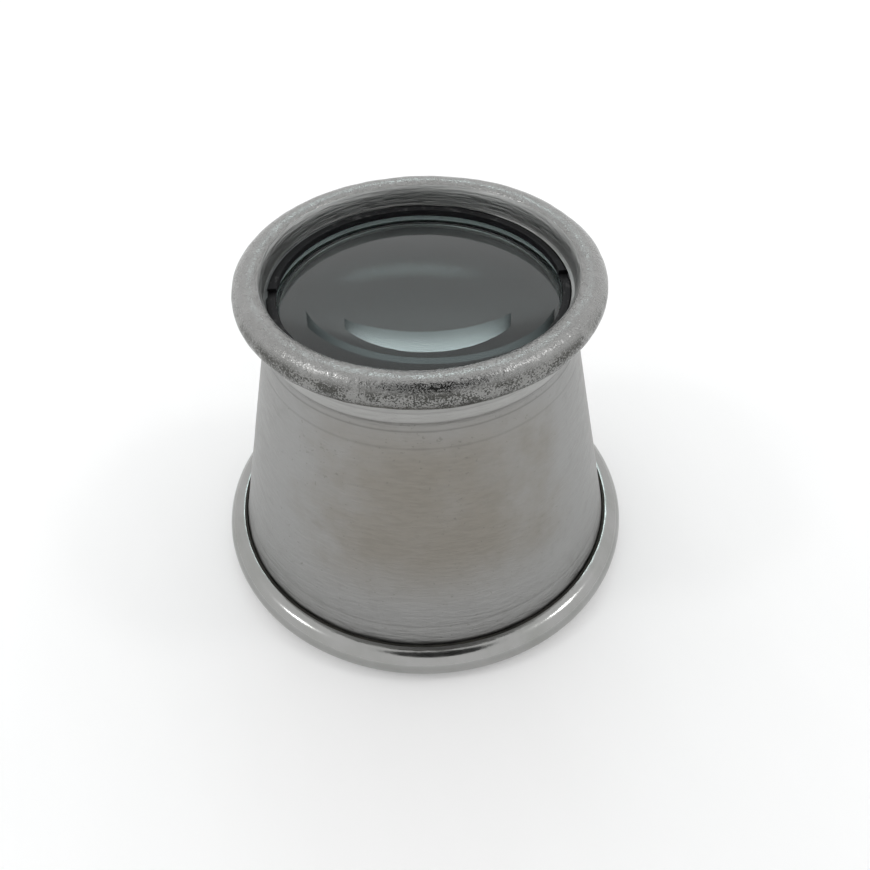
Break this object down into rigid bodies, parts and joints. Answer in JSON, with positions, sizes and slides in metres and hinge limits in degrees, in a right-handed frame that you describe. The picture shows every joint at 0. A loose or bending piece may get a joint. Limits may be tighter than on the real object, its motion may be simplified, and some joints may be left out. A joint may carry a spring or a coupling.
{
  "type": "eye loupe",
  "caption": "Hands-free eye loupe: flared spun-aluminium barrel with rolled rims, and a glass magnifying lens held by a slotted screw-in ring.",
  "frame": {"origin": "centre of the flat land under the eye-end curl, on the optical axis", "axes": "+Z along the optical axis from the eye end to the lens end; +X through one of the ring's two spanner slots at rest"},
  "size_m": [0.034, 0.034, 0.0253],
  "materials": {
    "spun_aluminium": "satin, spun grain, polished rims",
    "turned_aluminium": "fine turned",
    "black_fibre": "matt",
    "crown_glass": "polished, ground edge",
    "black_metal": "blackened, satin"
  },
  "bodies": {
    "barrel": {"barrel": "spun_aluminium", "seat_ring": "turned_aluminium", "seat_gasket": "black_fibre"},
    "lens": {"lens": "crown_glass"},
    "retaining_ring": {"retaining_ring": "black_metal"}
  },
  "joints": [
    {"name": "lens_lift", "type": "slide", "parent": "barrel", "child": "lens", "axis": [0, 0, 1], "range_m": [0, 0.0016]},
    {"name": "ring_turn", "type": "hinge", "parent": "lens", "child": "retaining_ring", "pos_m": [0, 0, 0.0231], "axis": [0, 0, 1], "range_deg": [0, 1440]}
  ],
  "couplings": [
    {"joint": "ring_turn", "follows": "lens_lift", "rad_per_m": 15708}
  ]
}
